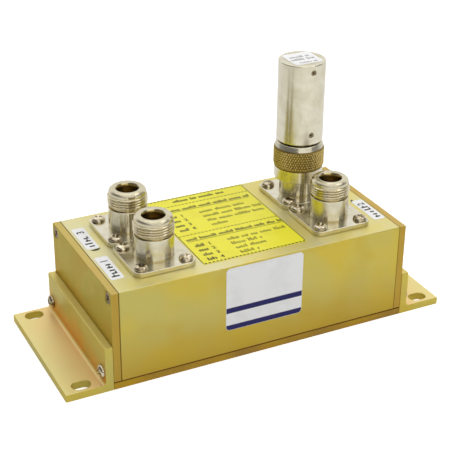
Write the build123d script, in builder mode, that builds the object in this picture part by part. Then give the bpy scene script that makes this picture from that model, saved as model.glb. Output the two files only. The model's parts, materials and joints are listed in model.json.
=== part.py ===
from build123d import *
import os
from math import cos, pi, radians, sin, tan

# Radio frequency hybrid coupler: a quarter-wave pair of coupled lines in a chromated
# aluminium housing, with three open coaxial ports and a screw-on load on the fourth.
# Millimetres. The origin is the middle of the base, +X runs along the housing,
# +Y to its rear and +Z out of its top.

# Housing: an extruded channel, open below, closed by a bottom plate and two end plates
channel_length = 120.65
channel_width = 63.5
channel_height = 38.1
channel_wall = 3.2
channel_edge_radius = 0.4
bottom_plate_thickness = 3.175
end_plate_thickness = 3.175
corner_block = 7.4
seam_chamfer = 0.25

# Mounting angles, one against each end plate
angle_leg = 19.05
angle_thickness = 3.175
angle_inner_radius = 1.5
slot_heel_distance = 11.5
slot_side_inset = 4.25
slot_length = 7.4
slot_width = 5.2

# Screws of the housing and flanges
screw_radius = 1.42
screw_clearance = 0.25
pan_head_radius = 2.78
pan_head_height = 1.7
pan_head_edge = 0.6
flat_head_radius = 2.6
flat_head_angle = 82
recess_width = 0.7
recess_length = 2.9
recess_depth = 0.9
thread_engagement = 7.0
screw_inset = 3.6
top_screw_drop = 3.1
low_screw_rise = 4.2
plate_screw_end_inset = 20.3

# Ports: panel jacks on square flanges, the two of each end side by side
port_end_inset = 22.025
flange_side = 25.4
flange_gap = 0.3
flange_thickness = 2.0
flange_corner_radius = 3.4
flange_screw_spacing = 18.26
pilot_radius = 6.3
barrel_radius = 7.75
thread_radius = 7.94
undercut_radius = 7.0
undercut_width = 0.9
thread_length = 4.65
rim_band_radius = 7.35
rim_band_length = 1.25
rim_chamfer = 0.75
jack_height = 18.5
mating_bore_radius = 4.06
mating_bore_depth = 9.3
mouth_radius = 4.65
mouth_taper_length = 1.4
line_bore_radius = 3.5
contact_radius = 1.52
contact_recess = 4.3
contact_socket_radius = 0.85
contact_socket_depth = 5.0
contact_slot_width = 0.3
contact_slot_depth = 3.6
contact_tail_radius = 1.0
insulator_stub = 1.5

# Coupled lines: two brass bars, side by side, bent out to the ports
line_height = 12.7
line_thickness = 2.4
line_gap = 1.6
line_corner_radius = 3.0
line_pad_radius = 3.2
tail_depth_in_pad = 5.0
support_length = 9.5
support_cheek = 4.0
support_slot_depth = 6.0
support_slot_clearance = 0.1
support_screw_engagement = 6.0

# Load: an absorber in a turned case, with a plug and a knurled coupling nut
load_radius = 9.6
load_length = 34.1
load_lift_above_jack = 7.3
load_wall = 1.6
load_edge = 0.5
load_cap_thickness = 7.0
load_hub_length = 8.0
element_radius = 3.0
element_seat_depth = 2.0
set_screw_radius = 1.1
set_screw_length = 3.0
set_screw_recess = 0.35
set_screw_socket = 0.9
upper_set_screw_drop = 3.05
lower_set_screw_rise = 4.4
nut_top_gap = 0.7
nut_overlap = 9.6
nut_skirt_radius = 10.05
nut_skirt_length = 5.2
knurl_radius = 10.5
knurl_depth = 0.35
knurl_length = 8.9
knurl_ridges = 72
nut_shoulder_radius = 9.65
nut_bottom_chamfer = 0.4
nut_bore_radius = 8.25
nut_lip_thickness = 3.0
neck_radius = 5.6
front_flange_radius = 6.9
front_flange_thickness = 2.0
ring_groove_depth = 0.6
ring_width = 0.8
ring_reach = 0.7
ring_gap_angle = 40
gasket_thickness = 1.1
plug_sleeve_radius = 4.0
plug_sleeve_wall = 0.5
plug_slot_width = 0.4
plug_slot_depth = 6.0
plug_slot_count = 6
plug_pin_radius = 0.8
plug_pin_reach = 4.3
plug_insulator_rise = 1.5

# Labels: thin printed films
label_thickness = 0.12
top_label_flange_gap = 3.375
top_label_side_inset = 3.175
top_label_offset_x = -1.4
top_label_offset_y = 2.45
top_label_radius = 0.8
front_label_width = 33.2
front_label_height = 27.2
front_label_offset_x = -0.4
front_label_top_inset = 0.725
front_label_radius = 1.7
sticker_width = 5.3
sticker_length = 18.6
sticker_radius = 1.0
left_sticker_inset = 1.075
right_sticker_inset = 0.475
load_label_side = 12.8
load_label_radius = 1.6

# Clearances
seat_gap = 0.02
moving_gap = 0.3

# Levels and places that follow from the sizes above
plate_top = bottom_plate_thickness
channel_top = plate_top + channel_height
roof_underside = channel_top - channel_wall
channel_end = channel_length / 2
housing_end = channel_end + end_plate_thickness
side_face = channel_width / 2
screw_row = side_face - screw_inset
low_screw_z = plate_top + low_screw_rise
top_screw_z = channel_top - top_screw_drop
tapped_radius = screw_radius + seat_gap
clear_radius = screw_radius + screw_clearance

slot_x = housing_end + slot_heel_distance
slot_y = side_face - slot_side_inset
plate_screw_x = channel_end - plate_screw_end_inset

port_x = channel_end - port_end_inset
port_y = (flange_side + flange_gap) / 2
port_centres = {
    1: (-port_x, -port_y),
    2: (port_x, -port_y),
    3: (-port_x, port_y),
    4: (port_x, port_y),
}
load_centre = port_centres[4]
flange_top = channel_top + flange_thickness
jack_mouth = channel_top + jack_height
mating_plane = jack_mouth - mating_bore_depth
rim_bottom = jack_mouth - rim_band_length - rim_chamfer
thread_bottom = rim_bottom - thread_length
undercut_bottom = thread_bottom - undercut_width
contact_tip = jack_mouth - contact_recess
insulator_bottom = roof_underside - insulator_stub

line_middle = (plate_top + roof_underside) / 2
line_top = line_middle + line_height / 2
line_bottom = line_middle - line_height / 2
line_offset = (line_gap + line_thickness) / 2
tail_bottom = line_top - tail_depth_in_pad
support_spacing = channel_length / 3

load_bottom = jack_mouth + load_lift_above_jack
load_top = load_bottom + load_length
nut_top = load_bottom - nut_top_gap
nut_bottom = jack_mouth - nut_overlap
knurl_bottom = nut_bottom + nut_skirt_length
knurl_top = knurl_bottom + knurl_length
lip_bottom = nut_top - nut_lip_thickness
lip_radius = neck_radius + moving_gap
front_flange_top = lip_bottom - moving_gap
front_flange_bottom = front_flange_top - front_flange_thickness
gasket_bottom = front_flange_bottom - gasket_thickness
sleeve_bottom = mating_plane + moving_gap
sleeve_bore_radius = plug_sleeve_radius - plug_sleeve_wall
ring_middle = (lip_bottom + nut_top) / 2
ring_outer_radius = neck_radius + ring_reach
hub_radius = load_radius - load_wall - seat_gap
hub_top = load_bottom + load_hub_length
cap_bottom = load_top - load_cap_thickness
element_bottom = hub_top
element_top = cap_bottom + element_seat_depth
plug_pin_tip = contact_tip - plug_pin_reach
plug_pin_shoulder = contact_tip + moving_gap
plug_insulator_bottom = contact_tip + plug_insulator_rise

top_label_width = 2 * port_x - flange_side - 2 * top_label_flange_gap
top_label_depth = channel_width - 2 * top_label_side_inset
front_label_z = channel_top - front_label_top_inset - front_label_height / 2
left_sticker_x = -channel_end + left_sticker_inset + sticker_width / 2
right_sticker_x = channel_end - right_sticker_inset - sticker_width / 2

os.makedirs("parts", exist_ok=True)


# Screws, made along +Z with the seat of the head at z = 0
def pan_head_screw(shank_length):
    with BuildPart() as screw:
        Cylinder(pan_head_radius, pan_head_height, align=(Align.CENTER, Align.CENTER, Align.MIN))
        chamfer(screw.edges().group_by(Axis.Z)[-1], pan_head_edge)
        Cylinder(screw_radius, shank_length, align=(Align.CENTER, Align.CENTER, Align.MAX))
        with BuildSketch(Plane.XY.offset(pan_head_height)):
            Rectangle(recess_length, recess_width)
            Rectangle(recess_width, recess_length)
        extrude(amount=-recess_depth, mode=Mode.SUBTRACT)
    return screw.part


# A countersunk screw has the top of its head at z = 0
def flat_head_screw(length):
    head_depth = (flat_head_radius - screw_radius) / tan(radians(flat_head_angle / 2))
    with BuildPart() as screw:
        with BuildSketch(Plane.XZ):
            with BuildLine():
                Polyline(
                    (0, 0),
                    (flat_head_radius, 0),
                    (screw_radius, -head_depth),
                    (screw_radius, -length),
                    (0, -length),
                    close=True,
                )
            make_face()
        revolve(axis=Axis.Z)
        with BuildSketch(Plane.XY):
            Rectangle(recess_length, recess_width)
            Rectangle(recess_width, recess_length)
        extrude(amount=-recess_depth, mode=Mode.SUBTRACT)
    return screw.part


# A solid turned about +Z from the radius and height of each corner of its half section
def turned(corners):
    with BuildPart() as piece:
        with BuildSketch(Plane.XZ):
            with BuildLine():
                Polyline(*corners, close=True)
            make_face()
        revolve(axis=Axis.Z)
    return piece.part


# Places of the screws
def end_planes(side, x, z):
    return [Plane(origin=(side * x, y, z), z_dir=(side, 0, 0)) for y in (-screw_row, screw_row)]


def underside_planes(points):
    return [Plane(origin=(x, y, 0), z_dir=(0, 0, -1)) for x, y in points]


plate_screw_points = [
    (x, y) for x in (-plate_screw_x, 0, plate_screw_x) for y in (-screw_row, screw_row)
]
support_points = [(-support_spacing / 2, 0), (support_spacing / 2, 0)]
flange_screw_points = [
    (x + sx * flange_screw_spacing / 2, y + sy * flange_screw_spacing / 2)
    for x, y in port_centres.values()
    for sx in (-1, 1)
    for sy in (-1, 1)
]
plate_screw_length = plate_top + low_screw_rise + screw_radius
support_screw_length = plate_top + support_screw_engagement

# Main channel: roof and two side walls in one extrusion, with a block in each corner
with BuildPart() as main_channel:
    with BuildSketch(Plane.YZ.offset(-channel_end)):
        with Locations((0, plate_top + channel_height / 2)):
            Rectangle(channel_width, channel_height)
        with Locations((0, (plate_top + roof_underside) / 2)):
            Rectangle(
                channel_width - 2 * channel_wall,
                roof_underside - plate_top,
                mode=Mode.SUBTRACT,
            )
        block_y = side_face - corner_block / 2
        block_zs = (plate_top + corner_block / 2, channel_top - corner_block / 2)
        with Locations(*[(y, z) for y in (-block_y, block_y) for z in block_zs]):
            Rectangle(corner_block, corner_block)
    extrude(amount=channel_length)
    fillet(main_channel.edges().filter_by(Axis.X).group_by(Axis.Z)[-1], channel_edge_radius)
    lower_edges = main_channel.edges().filter_by(Axis.X).group_by(Axis.Z)[0].sort_by(Axis.Y)
    chamfer([lower_edges[0], lower_edges[-1]], seam_chamfer)
    with Locations(*[(x, y, channel_top) for x, y in port_centres.values()]):
        Hole(pilot_radius + seat_gap, depth=channel_wall)
    with Locations(*[(x, y, channel_top) for x, y in flange_screw_points]):
        Hole(tapped_radius, depth=channel_wall)
    for side in (-1, 1):
        for level in (low_screw_z, top_screw_z):
            with Locations(*end_planes(side, channel_end, level)):
                Hole(tapped_radius, depth=thread_engagement + screw_clearance)
    with Locations(*[Plane(origin=(x, y, plate_top), z_dir=(0, 0, -1)) for x, y in plate_screw_points]):
        Hole(tapped_radius, depth=plate_screw_length - plate_top + screw_clearance)
main_channel.part.label = "main_channel"
export_step(main_channel.part, "parts/main_channel.step")

# Bottom plate, under the channel and both end plates
with BuildPart() as bottom_plate:
    with BuildSketch():
        Rectangle(2 * housing_end, channel_width)
    extrude(amount=bottom_plate_thickness)
    chamfer(bottom_plate.edges().group_by(Axis.Z)[-1], seam_chamfer)
    with Locations(*underside_planes(plate_screw_points + support_points)):
        CounterSinkHole(
            clear_radius,
            flat_head_radius + screw_clearance,
            depth=bottom_plate_thickness,
            counter_sink_angle=flat_head_angle,
        )
bottom_plate.part.label = "bottom_plate"
export_step(bottom_plate.part, "parts/bottom_plate.step")

# End plates, standing on the bottom plate and screwed into the channel's corner blocks
for side, name in ((-1, "left_end_plate"), (1, "right_end_plate")):
    with BuildPart() as end_plate:
        with BuildSketch(Plane.YZ.offset(side * channel_end)):
            with Locations((0, plate_top + channel_height / 2)):
                Rectangle(channel_width, channel_height)
        extrude(amount=side * end_plate_thickness)
        chamfer(end_plate.edges().group_by(Axis.X)[0], seam_chamfer)
        chamfer(end_plate.edges().group_by(Axis.X)[-1], seam_chamfer)
        with Locations(*end_planes(side, housing_end, top_screw_z)):
            CounterSinkHole(
                clear_radius,
                flat_head_radius + screw_clearance,
                depth=end_plate_thickness,
                counter_sink_angle=flat_head_angle,
            )
        with Locations(*end_planes(side, housing_end, low_screw_z)):
            Hole(clear_radius, depth=end_plate_thickness)
    end_plate.part.label = name
    export_step(end_plate.part, f"parts/{name}.step")

# Mounting brackets: lengths of angle with two slots in the foot of each
for side, name in ((-1, "left_bracket"), (1, "right_bracket")):
    heel = side * housing_end
    face = side * (housing_end + angle_thickness)
    toe = side * (housing_end + angle_leg)
    with BuildPart() as bracket:
        with BuildSketch(Plane.XZ.offset(-side_face)) as angle_section:
            with BuildLine():
                Polyline(
                    (heel, 0),
                    (toe, 0),
                    (toe, angle_thickness),
                    (face, angle_thickness),
                    (face, angle_leg),
                    (heel, angle_leg),
                    close=True,
                )
            make_face()
            inner_corner = angle_section.vertices().sort_by_distance((face, -side_face, angle_thickness))[0]
            fillet(inner_corner, angle_inner_radius)
        extrude(amount=channel_width)
        with BuildSketch(Plane.XY.offset(angle_thickness)):
            with Locations((side * slot_x, -slot_y), (side * slot_x, slot_y)):
                SlotOverall(slot_length, slot_width)
        extrude(amount=-angle_thickness, mode=Mode.SUBTRACT)
        with Locations(*end_planes(side, housing_end + angle_thickness, low_screw_z)):
            Hole(clear_radius, depth=angle_thickness)
    bracket.part.label = name
    export_step(bracket.part, f"parts/{name}.step")

# Screws of the end plates and the brackets, two at each end
end_screw = flat_head_screw(end_plate_thickness + thread_engagement)
bracket_screw = pan_head_screw(angle_thickness + end_plate_thickness + thread_engagement)
for side, name in ((-1, "left"), (1, "right")):
    with BuildPart() as end_plate_screws:
        with Locations(*end_planes(side, housing_end, top_screw_z)):
            add(end_screw)
    end_plate_screws.part.label = f"{name}_end_plate_screws"
    export_step(end_plate_screws.part, f"parts/{name}_end_plate_screws.step")
    with BuildPart() as bracket_screws:
        with Locations(*end_planes(side, housing_end + angle_thickness, low_screw_z)):
            add(bracket_screw)
    bracket_screws.part.label = f"{name}_bracket_screws"
    export_step(bracket_screws.part, f"parts/{name}_bracket_screws.step")

# Screws through the bottom plate, into the channel and into the line supports
plate_screw = flat_head_screw(plate_screw_length)
with BuildPart() as bottom_plate_screws:
    with Locations(*underside_planes(plate_screw_points)):
        add(plate_screw)
bottom_plate_screws.part.label = "bottom_plate_screws"
export_step(bottom_plate_screws.part, "parts/bottom_plate_screws.step")

support_screw = flat_head_screw(support_screw_length)
with BuildPart() as line_support_screws:
    with Locations(*underside_planes(support_points)):
        add(support_screw)
line_support_screws.part.label = "line_support_screws"
export_step(line_support_screws.part, "parts/line_support_screws.step")

# Flange screws, four to a port
flange_screw = pan_head_screw(flange_thickness + channel_wall)
with BuildPart() as flange_screws:
    with Locations(*[(x, y, flange_top) for x, y in flange_screw_points]):
        add(flange_screw)
flange_screws.part.label = "flange_screws"
export_step(flange_screws.part, "parts/flange_screws.step")

# Half section of a jack's shell: pilot below the flange, barrel, undercut, thread and rim
jack_section = [
    (line_bore_radius, roof_underside),
    (pilot_radius, roof_underside),
    (pilot_radius, channel_top),
    (barrel_radius, channel_top),
    (barrel_radius, undercut_bottom),
    (undercut_radius, undercut_bottom),
    (undercut_radius, thread_bottom),
    (thread_radius, thread_bottom),
    (thread_radius, rim_bottom),
    (rim_band_radius, rim_bottom),
    (rim_band_radius, jack_mouth - rim_chamfer),
    (rim_band_radius - rim_chamfer, jack_mouth),
    (mouth_radius, jack_mouth),
    (mating_bore_radius, jack_mouth - mouth_taper_length),
    (mating_bore_radius, mating_plane),
    (line_bore_radius, mating_plane),
]
jack_body = turned(jack_section)

# Female centre contact: slotted socket above, solder tail below
contact_section = [
    (0, tail_bottom),
    (contact_tail_radius, tail_bottom),
    (contact_tail_radius, insulator_bottom),
    (contact_radius, insulator_bottom),
    (contact_radius, contact_tip),
    (contact_socket_radius, contact_tip),
    (contact_socket_radius, contact_tip - contact_socket_depth),
    (0, contact_tip - contact_socket_depth),
]
contact_body = turned(contact_section)

for number, centre in port_centres.items():
    with BuildPart() as port_shell:
        with Locations((*centre, 0)):
            add(jack_body)
        with BuildSketch(Plane.XY.offset(channel_top)):
            with Locations(centre):
                RectangleRounded(flange_side, flange_side, flange_corner_radius)
                Circle(barrel_radius, mode=Mode.SUBTRACT)
        extrude(amount=flange_thickness)
        with Locations((*centre, flange_top)):
            with GridLocations(flange_screw_spacing, flange_screw_spacing, 2, 2):
                Hole(clear_radius, depth=flange_thickness)
    port_shell.part.label = f"port_{number}_shell"
    export_step(port_shell.part, f"parts/port_{number}_shell.step")

    with BuildPart() as port_insulator:
        with BuildSketch(Plane.XY.offset(insulator_bottom)):
            with Locations(centre):
                Circle(line_bore_radius - seat_gap)
                Circle(contact_radius + seat_gap, mode=Mode.SUBTRACT)
        extrude(amount=mating_plane - insulator_bottom)
    port_insulator.part.label = f"port_{number}_insulator"
    export_step(port_insulator.part, f"parts/port_{number}_insulator.step")

    with BuildPart() as port_contact:
        with Locations((*centre, 0)):
            add(contact_body)
        with BuildSketch(Plane.XY.offset(contact_tip)):
            with Locations(centre):
                Rectangle(4 * contact_radius, contact_slot_width)
                Rectangle(contact_slot_width, 4 * contact_radius)
        extrude(amount=-contact_slot_depth, mode=Mode.SUBTRACT)
    port_contact.part.label = f"port_{number}_contact"
    export_step(port_contact.part, f"parts/port_{number}_contact.step")

# Coupled lines: each bar leaves a port's pad, turns, runs beside the other and turns back
for side, name in ((-1, "front_line"), (1, "rear_line")):
    near = side * line_offset
    far = side * port_y
    with BuildPart() as coupled_line:
        with BuildSketch(Plane.XY.offset(line_bottom)):
            with BuildLine():
                FilletPolyline(
                    (-port_x, far),
                    (-port_x, near),
                    (port_x, near),
                    (port_x, far),
                    radius=line_corner_radius,
                )
            trace(line_width=line_thickness)
            with Locations((-port_x, far), (port_x, far)):
                Circle(line_pad_radius)
                Circle(contact_tail_radius + seat_gap, mode=Mode.SUBTRACT)
        extrude(amount=line_height)
    coupled_line.part.label = name
    export_step(coupled_line.part, f"parts/{name}.step")

# Supports: fluoropolymer blocks on the bottom plate, slotted for the two bars
slot_width_for_line = line_thickness + 2 * support_slot_clearance
support_width = line_gap + 2 * line_thickness + 2 * support_cheek
for side, name in ((-1, "left_line_support"), (1, "right_line_support")):
    support_x = side * support_spacing / 2
    with BuildPart() as line_support:
        with BuildSketch(Plane.YZ.offset(support_x - support_length / 2)):
            with Locations((0, plate_top)):
                Rectangle(
                    support_width,
                    line_bottom + support_slot_depth - plate_top,
                    align=(Align.CENTER, Align.MIN),
                )
            with Locations((-line_offset, line_bottom), (line_offset, line_bottom)):
                Rectangle(
                    slot_width_for_line,
                    support_slot_depth,
                    align=(Align.CENTER, Align.MIN),
                    mode=Mode.SUBTRACT,
                )
        extrude(amount=support_length)
        with Locations(Plane(origin=(support_x, 0, plate_top), z_dir=(0, 0, -1))):
            Hole(tapped_radius, depth=support_screw_engagement + screw_clearance)
    line_support.part.label = name
    export_step(line_support.part, f"parts/{name}.step")

# Plug body of the load: contact sleeve, front flange, neck with its ring groove, and hub
plug_section = [
    (sleeve_bore_radius, sleeve_bottom),
    (plug_sleeve_radius, sleeve_bottom),
    (plug_sleeve_radius, front_flange_bottom),
    (front_flange_radius, front_flange_bottom),
    (front_flange_radius, front_flange_top),
    (neck_radius, front_flange_top),
    (neck_radius, ring_middle - ring_width / 2 - seat_gap),
    (neck_radius - ring_groove_depth, ring_middle - ring_width / 2 - seat_gap),
    (neck_radius - ring_groove_depth, ring_middle + ring_width / 2 + seat_gap),
    (neck_radius, ring_middle + ring_width / 2 + seat_gap),
    (neck_radius, load_bottom),
    (hub_radius, load_bottom),
    (hub_radius, hub_top),
    (sleeve_bore_radius, hub_top),
]
plug_turning = turned(plug_section)
set_screw_levels = {
    "lower": load_bottom + lower_set_screw_rise,
    "upper": load_top - upper_set_screw_drop,
}


# Plane of a set screw's outer end, on the front of the load's case and facing out of it
def set_screw_plane(level):
    face_y = load_centre[1] - load_radius + set_screw_recess
    return Plane(origin=(load_centre[0], face_y, level), z_dir=(0, -1, 0))


with BuildPart() as load_plug_body:
    with Locations((*load_centre, 0)):
        add(plug_turning)
    with Locations((*load_centre, sleeve_bottom)):
        with PolarLocations(sleeve_bore_radius + plug_sleeve_wall / 2, plug_slot_count):
            Box(
                4 * plug_sleeve_wall,
                plug_slot_width,
                plug_slot_depth,
                align=(Align.CENTER, Align.CENTER, Align.MIN),
                mode=Mode.SUBTRACT,
            )
    with Locations(set_screw_plane(set_screw_levels["lower"])):
        Hole(set_screw_radius + seat_gap, depth=set_screw_length + seat_gap)
load_plug_body.part.label = "load_plug_body"
export_step(load_plug_body.part, "parts/load_plug_body.step")

# Insulator and pin of the plug
with BuildPart() as load_plug_insulator:
    with BuildSketch(Plane.XY.offset(plug_insulator_bottom)):
        with Locations(load_centre):
            Circle(sleeve_bore_radius - seat_gap)
            Circle(contact_radius + seat_gap, mode=Mode.SUBTRACT)
    extrude(amount=hub_top - plug_insulator_bottom)
load_plug_insulator.part.label = "load_plug_insulator"
export_step(load_plug_insulator.part, "parts/load_plug_insulator.step")

pin_section = [
    (0, plug_pin_tip),
    (plug_pin_radius / 2, plug_pin_tip),
    (plug_pin_radius, plug_pin_tip + plug_pin_radius),
    (plug_pin_radius, plug_pin_shoulder),
    (contact_radius, plug_pin_shoulder),
    (contact_radius, hub_top),
    (0, hub_top),
]
pin_turning = turned(pin_section)
with BuildPart() as load_pin:
    with Locations((*load_centre, 0)):
        add(pin_turning)
load_pin.part.label = "load_pin"
export_step(load_pin.part, "parts/load_pin.step")

# Resistive element, standing on the pin and seated in the cap
with BuildPart() as load_element:
    with BuildSketch(Plane.XY.offset(element_bottom)):
        with Locations(load_centre):
            Circle(element_radius)
    extrude(amount=element_top - element_bottom)
load_element.part.label = "load_element"
export_step(load_element.part, "parts/load_element.step")

# Cap that closes the top of the case
with BuildPart() as load_cap:
    with BuildSketch(Plane.XY.offset(cap_bottom)):
        with Locations(load_centre):
            Circle(hub_radius)
    extrude(amount=load_cap_thickness)
    with BuildSketch(Plane.XY.offset(cap_bottom)):
        with Locations(load_centre):
            Circle(element_radius + seat_gap)
    extrude(amount=element_seat_depth, mode=Mode.SUBTRACT)
    with Locations(set_screw_plane(set_screw_levels["upper"])):
        Hole(set_screw_radius + seat_gap, depth=set_screw_length + seat_gap)
load_cap.part.label = "load_cap"
export_step(load_cap.part, "parts/load_cap.step")

# Case of the load: a plain turned tube with a hole for each set screw
with BuildPart() as load_case:
    with BuildSketch(Plane.XY.offset(load_bottom)):
        with Locations(load_centre):
            Circle(load_radius)
            Circle(load_radius - load_wall, mode=Mode.SUBTRACT)
    extrude(amount=load_length)
    outer_rims = load_case.edges().filter_by(GeomType.CIRCLE).group_by(SortBy.RADIUS)[-1]
    chamfer(outer_rims, load_edge)
    for level in set_screw_levels.values():
        with Locations(set_screw_plane(level).offset(set_screw_recess)):
            Hole(set_screw_radius + seat_gap, depth=2 * load_wall)
load_case.part.label = "load_case"
export_step(load_case.part, "parts/load_case.step")

# Set screws, with a hexagon socket in the outer end of each
with BuildPart() as load_set_screws:
    for level in set_screw_levels.values():
        with BuildSketch(set_screw_plane(level)):
            Circle(set_screw_radius)
        extrude(amount=-set_screw_length)
        with BuildSketch(set_screw_plane(level)):
            RegularPolygon(set_screw_socket / 2, 6)
        extrude(amount=-set_screw_length / 2, mode=Mode.SUBTRACT)
load_set_screws.part.label = "load_set_screws"
export_step(load_set_screws.part, "parts/load_set_screws.step")

# Gasket under the plug's front flange
with BuildPart() as load_gasket:
    with BuildSketch(Plane.XY.offset(gasket_bottom)):
        with Locations(load_centre):
            Circle(front_flange_radius - moving_gap)
            Circle(plug_sleeve_radius + seat_gap, mode=Mode.SUBTRACT)
    extrude(amount=gasket_thickness)
load_gasket.part.label = "load_gasket"
export_step(load_gasket.part, "parts/load_gasket.step")

# Split ring in the neck's groove, which keeps the nut on the plug
with BuildPart() as retaining_ring:
    with BuildSketch(Plane.XY.offset(ring_middle - ring_width / 2)):
        with Locations(load_centre):
            Circle(ring_outer_radius)
            Circle(neck_radius - ring_groove_depth + seat_gap, mode=Mode.SUBTRACT)
        with BuildLine():
            reach = 2 * ring_outer_radius
            half_gap = radians(ring_gap_angle / 2)
            Polyline(
                load_centre,
                (load_centre[0] + reach * cos(half_gap), load_centre[1] - reach * sin(half_gap)),
                (load_centre[0] + reach * cos(half_gap), load_centre[1] + reach * sin(half_gap)),
                close=True,
            )
        make_face(mode=Mode.SUBTRACT)
    extrude(amount=ring_width)
retaining_ring.part.label = "retaining_ring"
export_step(retaining_ring.part, "parts/retaining_ring.step")

# Coupling nut: plain skirt, knurled band and chamfered shoulder, turning round the plug's neck
ring_room = ring_width / 2 + moving_gap
nut_section = [
    (nut_bore_radius, nut_bottom),
    (nut_skirt_radius - nut_bottom_chamfer, nut_bottom),
    (nut_skirt_radius, nut_bottom + nut_bottom_chamfer),
    (nut_skirt_radius, knurl_bottom),
    (knurl_radius - knurl_depth, knurl_bottom),
    (knurl_radius - knurl_depth, knurl_top),
    (nut_shoulder_radius, nut_top),
    (lip_radius, nut_top),
    (lip_radius, ring_middle + ring_room),
    (ring_outer_radius + moving_gap, ring_middle + ring_room),
    (ring_outer_radius + moving_gap, ring_middle - ring_room),
    (lip_radius, ring_middle - ring_room),
    (lip_radius, lip_bottom),
    (nut_bore_radius, lip_bottom),
]
nut_turning = turned(nut_section)
knurl_step = 2 * pi / knurl_ridges
knurl_points = [
    (
        load_centre[0] + radius * cos((ridge + share) * knurl_step),
        load_centre[1] + radius * sin((ridge + share) * knurl_step),
    )
    for ridge in range(knurl_ridges)
    for share, radius in ((0, knurl_radius), (0.5, knurl_radius - knurl_depth))
]
with BuildPart() as coupling_nut:
    with Locations((*load_centre, 0)):
        add(nut_turning)
    with BuildSketch(Plane.XY.offset(knurl_bottom)):
        with BuildLine():
            Polyline(*knurl_points, close=True)
        make_face()
        with Locations(load_centre):
            Circle(nut_skirt_radius, mode=Mode.SUBTRACT)
    extrude(amount=knurl_length)
coupling_nut.part.label = "coupling_nut"
export_step(coupling_nut.part, "parts/coupling_nut.step")

# Printed films on the housing and on the load
with BuildPart() as top_label:
    with BuildSketch(Plane.XY.offset(channel_top)):
        with Locations((top_label_offset_x, top_label_offset_y)):
            RectangleRounded(top_label_width, top_label_depth, top_label_radius)
    extrude(amount=label_thickness)
top_label.part.label = "top_label"
export_step(top_label.part, "parts/top_label.step")

with BuildPart() as front_label:
    with BuildSketch(Plane.XZ.offset(side_face)):
        with Locations((front_label_offset_x, front_label_z)):
            RectangleRounded(front_label_width, front_label_height, front_label_radius)
    extrude(amount=label_thickness)
front_label.part.label = "front_label"
export_step(front_label.part, "parts/front_label.step")

sticker_centres = {
    1: (left_sticker_x, -port_y),
    2: (right_sticker_x, -port_y),
    3: (left_sticker_x, port_y),
}
for number, centre in sticker_centres.items():
    with BuildPart() as port_sticker:
        with BuildSketch(Plane.XY.offset(channel_top)):
            with Locations(centre):
                RectangleRounded(sticker_width, sticker_length, sticker_radius)
        extrude(amount=label_thickness)
    port_sticker.part.label = f"port_{number}_sticker"
    export_step(port_sticker.part, f"parts/port_{number}_sticker.step")

with BuildPart() as load_label:
    with BuildSketch(Plane.XY.offset(load_top)):
        with Locations(load_centre):
            RectangleRounded(load_label_side, load_label_side, load_label_radius)
    extrude(amount=label_thickness)
load_label.part.label = "load_label"
export_step(load_label.part, "parts/load_label.step")
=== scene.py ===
import json
import math
import random

import bmesh
import bpy
from mathutils import Matrix, Vector


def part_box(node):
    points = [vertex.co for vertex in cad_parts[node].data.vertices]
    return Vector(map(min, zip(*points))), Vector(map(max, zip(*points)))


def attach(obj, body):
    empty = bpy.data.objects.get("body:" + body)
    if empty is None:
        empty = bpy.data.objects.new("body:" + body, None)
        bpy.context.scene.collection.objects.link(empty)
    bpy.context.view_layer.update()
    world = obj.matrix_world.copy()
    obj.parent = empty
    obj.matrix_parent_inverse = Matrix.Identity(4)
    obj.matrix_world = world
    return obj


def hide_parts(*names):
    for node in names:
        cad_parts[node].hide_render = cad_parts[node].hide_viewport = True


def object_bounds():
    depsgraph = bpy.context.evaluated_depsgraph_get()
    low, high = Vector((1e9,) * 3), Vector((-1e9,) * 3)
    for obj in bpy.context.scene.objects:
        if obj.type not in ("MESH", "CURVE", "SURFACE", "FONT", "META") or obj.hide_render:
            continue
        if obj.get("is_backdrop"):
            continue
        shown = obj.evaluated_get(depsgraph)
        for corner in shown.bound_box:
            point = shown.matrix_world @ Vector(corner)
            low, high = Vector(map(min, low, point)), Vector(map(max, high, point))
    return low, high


# Looks of the hybrid coupler: a yellow-chromated aluminium housing, nickel-plated jacks and
# load, printed film labels. Lengths in this script are millimetres, in the frame of the CAD.

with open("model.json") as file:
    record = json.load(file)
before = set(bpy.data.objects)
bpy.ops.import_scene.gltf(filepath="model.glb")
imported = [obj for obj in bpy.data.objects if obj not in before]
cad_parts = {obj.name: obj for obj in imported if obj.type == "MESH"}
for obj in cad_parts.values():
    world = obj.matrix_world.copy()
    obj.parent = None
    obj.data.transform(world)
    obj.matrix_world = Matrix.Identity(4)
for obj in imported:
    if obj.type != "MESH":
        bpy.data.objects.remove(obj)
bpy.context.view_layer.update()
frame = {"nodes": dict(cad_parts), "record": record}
nodes = frame["nodes"]
MM = 0.001
SCREW_SEED = 11
PRINT_SEED = 12


# Places and sizes read from the frame


def box(node):
    """Lowest and highest corners of a node, in millimetres."""
    low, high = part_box(node)
    return low / MM, high / MM


def middle(node):
    """Middle of a node's box."""
    low, high = box(node)
    return (low + high) / 2


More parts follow.
